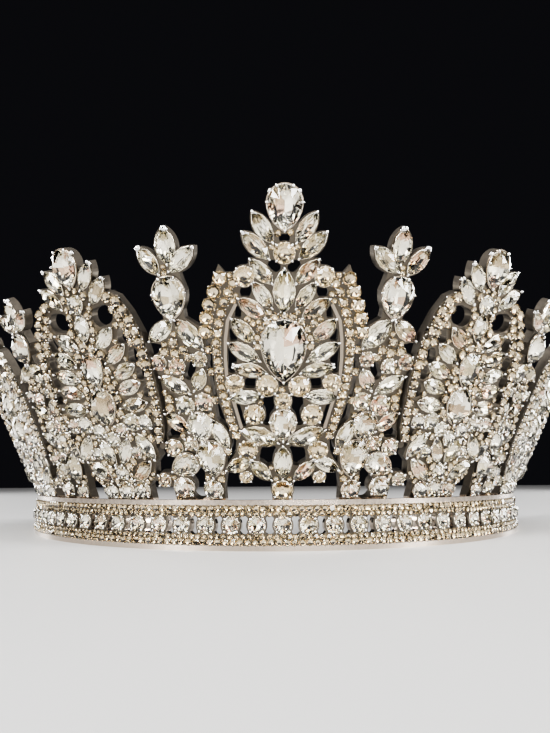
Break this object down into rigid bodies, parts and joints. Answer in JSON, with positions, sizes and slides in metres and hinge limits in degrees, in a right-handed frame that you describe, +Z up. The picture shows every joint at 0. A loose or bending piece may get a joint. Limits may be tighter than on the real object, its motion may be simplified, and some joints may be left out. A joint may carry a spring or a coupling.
{
  "type": "pageant crown",
  "caption": "A silver-coloured pageant crown: an open band of round stones carries leaning pierced peaks and finials set with clear navette, pear and round stones.",
  "frame": {"origin": "centre of the ring that the band follows, on the band's bottom plane, where the head sits", "axes": "+Z up out of the head; the front peak and the stones face -Y; +X is to the right of someone who looks at the front; the back, at +Y, is open"},
  "size_m": [0.2006, 0.1236, 0.075],
  "materials": {
    "silver": "polished",
    "large_stones": "polished",
    "small_stones": "polished"
  },
  "bodies": {
    "root": {"frame": "silver", "band_stones": "small_stones", "front_crest_pear": "large_stones", "front_main_pear": "large_stones", "front_lower_pear": "large_stones", "front_navettes": "small_stones", "front_rounds": "small_stones", "left_peak_1_crest_pear": "large_stones", "left_peak_1_main_pear": "large_stones", "left_peak_1_upper_pear": "large_stones", "left_peak_1_navettes": "small_stones", "left_peak_2_crest_pear": "large_stones", "left_peak_2_main_pear": "large_stones", "left_peak_2_upper_pear": "large_stones", "left_peak_2_navettes": "small_stones", "left_peak_3_crest_pear": "large_stones", "left_peak_3_main_pear": "large_stones", "left_peak_3_upper_pear": "large_stones", "left_peak_3_navettes": "small_stones", "right_peak_1_crest_pear": "large_stones", "right_peak_1_main_pear": "large_stones", "right_peak_1_upper_pear": "large_stones", "right_peak_1_navettes": "small_stones", "right_peak_2_crest_pear": "large_stones", "right_peak_2_main_pear": "large_stones", "right_peak_2_upper_pear": "large_stones", "right_peak_2_navettes": "small_stones", "right_peak_3_crest_pear": "large_stones", "right_peak_3_main_pear": "large_stones", "right_peak_3_upper_pear": "large_stones", "right_peak_3_navettes": "small_stones", "left_finial_1_neck_pear": "large_stones", "left_finial_1_stones": "small_stones", "left_finial_2_neck_pear": "large_stones", "left_finial_2_stones": "small_stones", "left_finial_3_neck_pear": "large_stones", "left_finial_3_stones": "small_stones", "right_finial_1_neck_pear": "large_stones", "right_finial_1_stones": "small_stones", "right_finial_2_neck_pear": "large_stones", "right_finial_2_stones": "small_stones", "right_finial_3_neck_pear": "large_stones", "right_finial_3_stones": "small_stones"}
  },
  "joints": []
}
